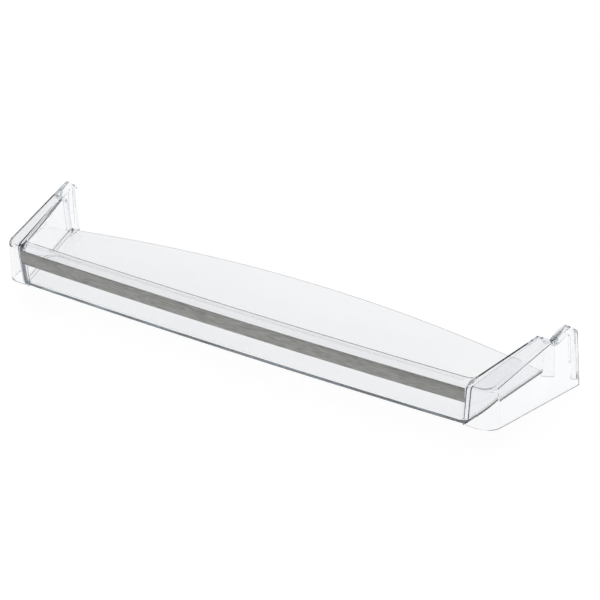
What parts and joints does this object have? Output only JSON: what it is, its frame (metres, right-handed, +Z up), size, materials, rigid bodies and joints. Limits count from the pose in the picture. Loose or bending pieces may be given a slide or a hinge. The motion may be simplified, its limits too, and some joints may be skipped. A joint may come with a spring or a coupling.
{
  "type": "refrigerator door shelf",
  "caption": "Shallow clear plastic door shelf with a bowed front wall, curved floor, splayed hollow ends with hanging channels, and a silver trim strip.",
  "frame": {"origin": "middle of the footprint, at the level of the outer walls' lowest edge", "axes": "+X along the shelf to the right, front wall faces -Y, +Z up with the floor level as it hangs in the door"},
  "size_m": [0.4888, 0.1185, 0.0593],
  "materials": {
    "clear_plastic": "clear polished plastic, faintly blue-grey",
    "silver_trim": "fine brushed silver along its length"
  },
  "bodies": {
    "root": {"tray": "clear_plastic", "trim_strip": "silver_trim"}
  },
  "joints": []
}
